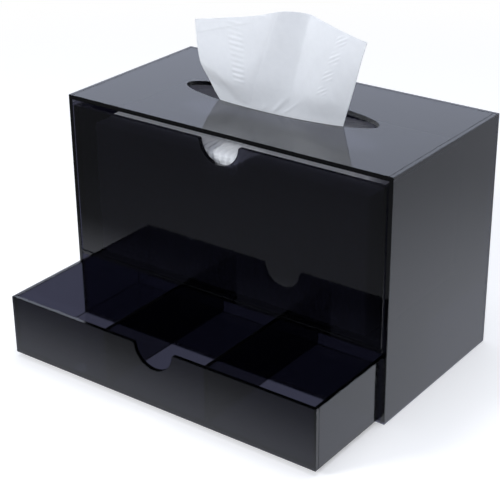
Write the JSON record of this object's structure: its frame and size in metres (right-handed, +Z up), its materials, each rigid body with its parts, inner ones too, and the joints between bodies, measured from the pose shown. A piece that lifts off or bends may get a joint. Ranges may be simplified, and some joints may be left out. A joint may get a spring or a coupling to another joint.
{
  "type": "tissue box with drawer",
  "caption": "Desktop tissue dispenser in smoke acrylic: oval slot in the top, pull-out tissue tray and a divided drawer with finger notches below it.",
  "frame": {"origin": "middle of the case's footprint on the table, on the underside of the bottom panel", "axes": "+X to the right along the front, +Y from the front to the back, +Z up; the tray and the drawer pull out towards -Y"},
  "size_m": [0.25, 0.2, 0.233],
  "materials": {
    "smoke_acrylic": "polished",
    "tissue_paper": "soft matt"
  },
  "bodies": {
    "case": {"top_panel": "smoke_acrylic", "left_side_panel": "smoke_acrylic", "right_side_panel": "smoke_acrylic", "back_panel": "smoke_acrylic", "shelf_panel": "smoke_acrylic", "bottom_panel": "smoke_acrylic", "pulled_tissue": "tissue_paper"},
    "tissue_tray": {"tray_front": "smoke_acrylic", "tray_left_wall": "smoke_acrylic", "tray_right_wall": "smoke_acrylic", "tray_back_wall": "smoke_acrylic", "tray_floor": "smoke_acrylic", "tissue_stack": "tissue_paper"},
    "drawer": {"drawer_front": "smoke_acrylic", "drawer_left_wall": "smoke_acrylic", "drawer_right_wall": "smoke_acrylic", "drawer_back_wall": "smoke_acrylic", "drawer_floor": "smoke_acrylic", "left_divider": "smoke_acrylic", "right_divider": "smoke_acrylic"}
  },
  "joints": [
    {"name": "tray_slide", "type": "slide", "parent": "case", "child": "tissue_tray", "axis": [0, -1, 0], "range_m": [0, 0.11]},
    {"name": "drawer_slide", "type": "slide", "parent": "case", "child": "drawer", "axis": [0, -1, 0], "range_m": [-0.07, 0.04]}
  ]
}
